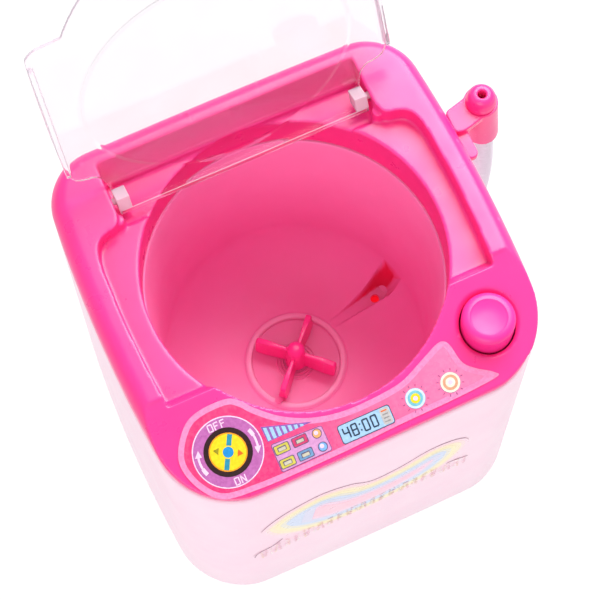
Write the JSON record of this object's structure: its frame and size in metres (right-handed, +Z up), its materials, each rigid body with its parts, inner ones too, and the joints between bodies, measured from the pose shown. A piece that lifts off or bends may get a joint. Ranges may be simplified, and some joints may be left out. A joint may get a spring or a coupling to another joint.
{
  "type": "toy washing machine brush cleaner",
  "caption": "Toy top-loading washing machine that washes make-up brushes: clear hinged lid, tub with turning pulsator, press button, printed panel and swing-down drain hose.",
  "frame": {"origin": "middle of the flat underside, on the surface it stands on", "axes": "+Z up, +X to the right and +Y to the back as seen from the front panel"},
  "size_m": [0.113, 0.1077, 0.1644],
  "materials": {
    "pale_pink_plastic": "satin",
    "hot_pink_plastic": "glossy",
    "tub_plastic": "glossy",
    "clear_plastic": "clear",
    "hose_plastic": "translucent",
    "printed_label": "printed film",
    "printed_decal": "printed film",
    "white_plastic": "plain",
    "black_plastic": "plain",
    "seal_rubber": "matt",
    "steel": "plain",
    "brass": "plain",
    "cell_wrap": "plain",
    "red_wire": "plain",
    "black_wire": "plain"
  },
  "bodies": {
    "chassis": {"outer_body": "pale_pink_plastic", "base_plate": "pale_pink_plastic", "battery_door": "pale_pink_plastic", "top_cover": "hot_pink_plastic", "drain_elbow": "hot_pink_plastic", "tub": "tub_plastic", "control_label": "printed_label", "front_emblem": "printed_decal", "motor_bracket": "white_plastic", "motor_end_cap": "white_plastic", "switch_case": "black_plastic", "shaft_seal": "seal_rubber", "motor_can": "steel", "button_spring": "steel", "contact_spring_front": "steel", "contact_spring_rear": "steel", "contact_plate_front": "brass", "contact_plate_rear": "brass", "battery_cell_front": "cell_wrap", "battery_cell_rear": "cell_wrap", "wire_cell_to_switch": "red_wire", "wire_switch_to_motor": "red_wire", "wire_motor_return": "black_wire", "battery_door_screw": "steel", "base_screw_1": "steel", "cover_screw_1": "steel", "base_screw_2": "steel", "cover_screw_2": "steel", "base_screw_3": "steel", "cover_screw_3": "steel", "base_screw_4": "steel", "cover_screw_4": "steel", "bracket_screw_1": "steel", "bracket_screw_2": "steel", "bracket_screw_3": "steel"},
    "lid_body": {"lid": "clear_plastic"},
    "pulsator_drive": {"pulsator": "hot_pink_plastic", "pulsator_shaft": "steel", "drive_gear": "white_plastic"},
    "motor_rotor": {"motor_shaft": "steel", "motor_pinion": "white_plastic"},
    "button": {"push_button": "hot_pink_plastic", "switch_plunger": "white_plastic"},
    "drain_line": {"outlet_spigot": "hot_pink_plastic", "drain_hose": "hose_plastic", "drain_nozzle": "hot_pink_plastic", "nozzle_tip": "hot_pink_plastic", "hose_clamp": "white_plastic"}
  },
  "joints": [
    {"name": "lid_hinge", "type": "hinge", "parent": "chassis", "child": "lid_body", "pos_m": [0, 0.031, 0.103], "axis": [1, 0, 0], "range_deg": [0, 113.5]},
    {"name": "pulsator_spin", "type": "hinge", "parent": "chassis", "child": "pulsator_drive", "pos_m": [0, 0.0006, 0.0224], "axis": [0, 0, 1], "continuous": true},
    {"name": "motor_spin", "type": "hinge", "parent": "chassis", "child": "motor_rotor", "pos_m": [-0.00923, 0.01242, 0.0144], "axis": [0, 0, 1], "continuous": true},
    {"name": "button_press", "type": "slide", "parent": "chassis", "child": "button", "axis": [0, 0, -1], "range_m": [0, 0.0022], "stiffness_N_per_m": 250, "springref_m": -0.0015, "deforming": ["button_spring"]},
    {"name": "hose_swing", "type": "hinge", "parent": "chassis", "child": "drain_line", "pos_m": [0.0492, 0.019, 0.01], "axis": [-1, 0, 0], "range_deg": [0, 88]}
  ],
  "couplings": [
    {"joint": "motor_spin", "follows": "pulsator_spin", "ratio": -3}
  ]
}
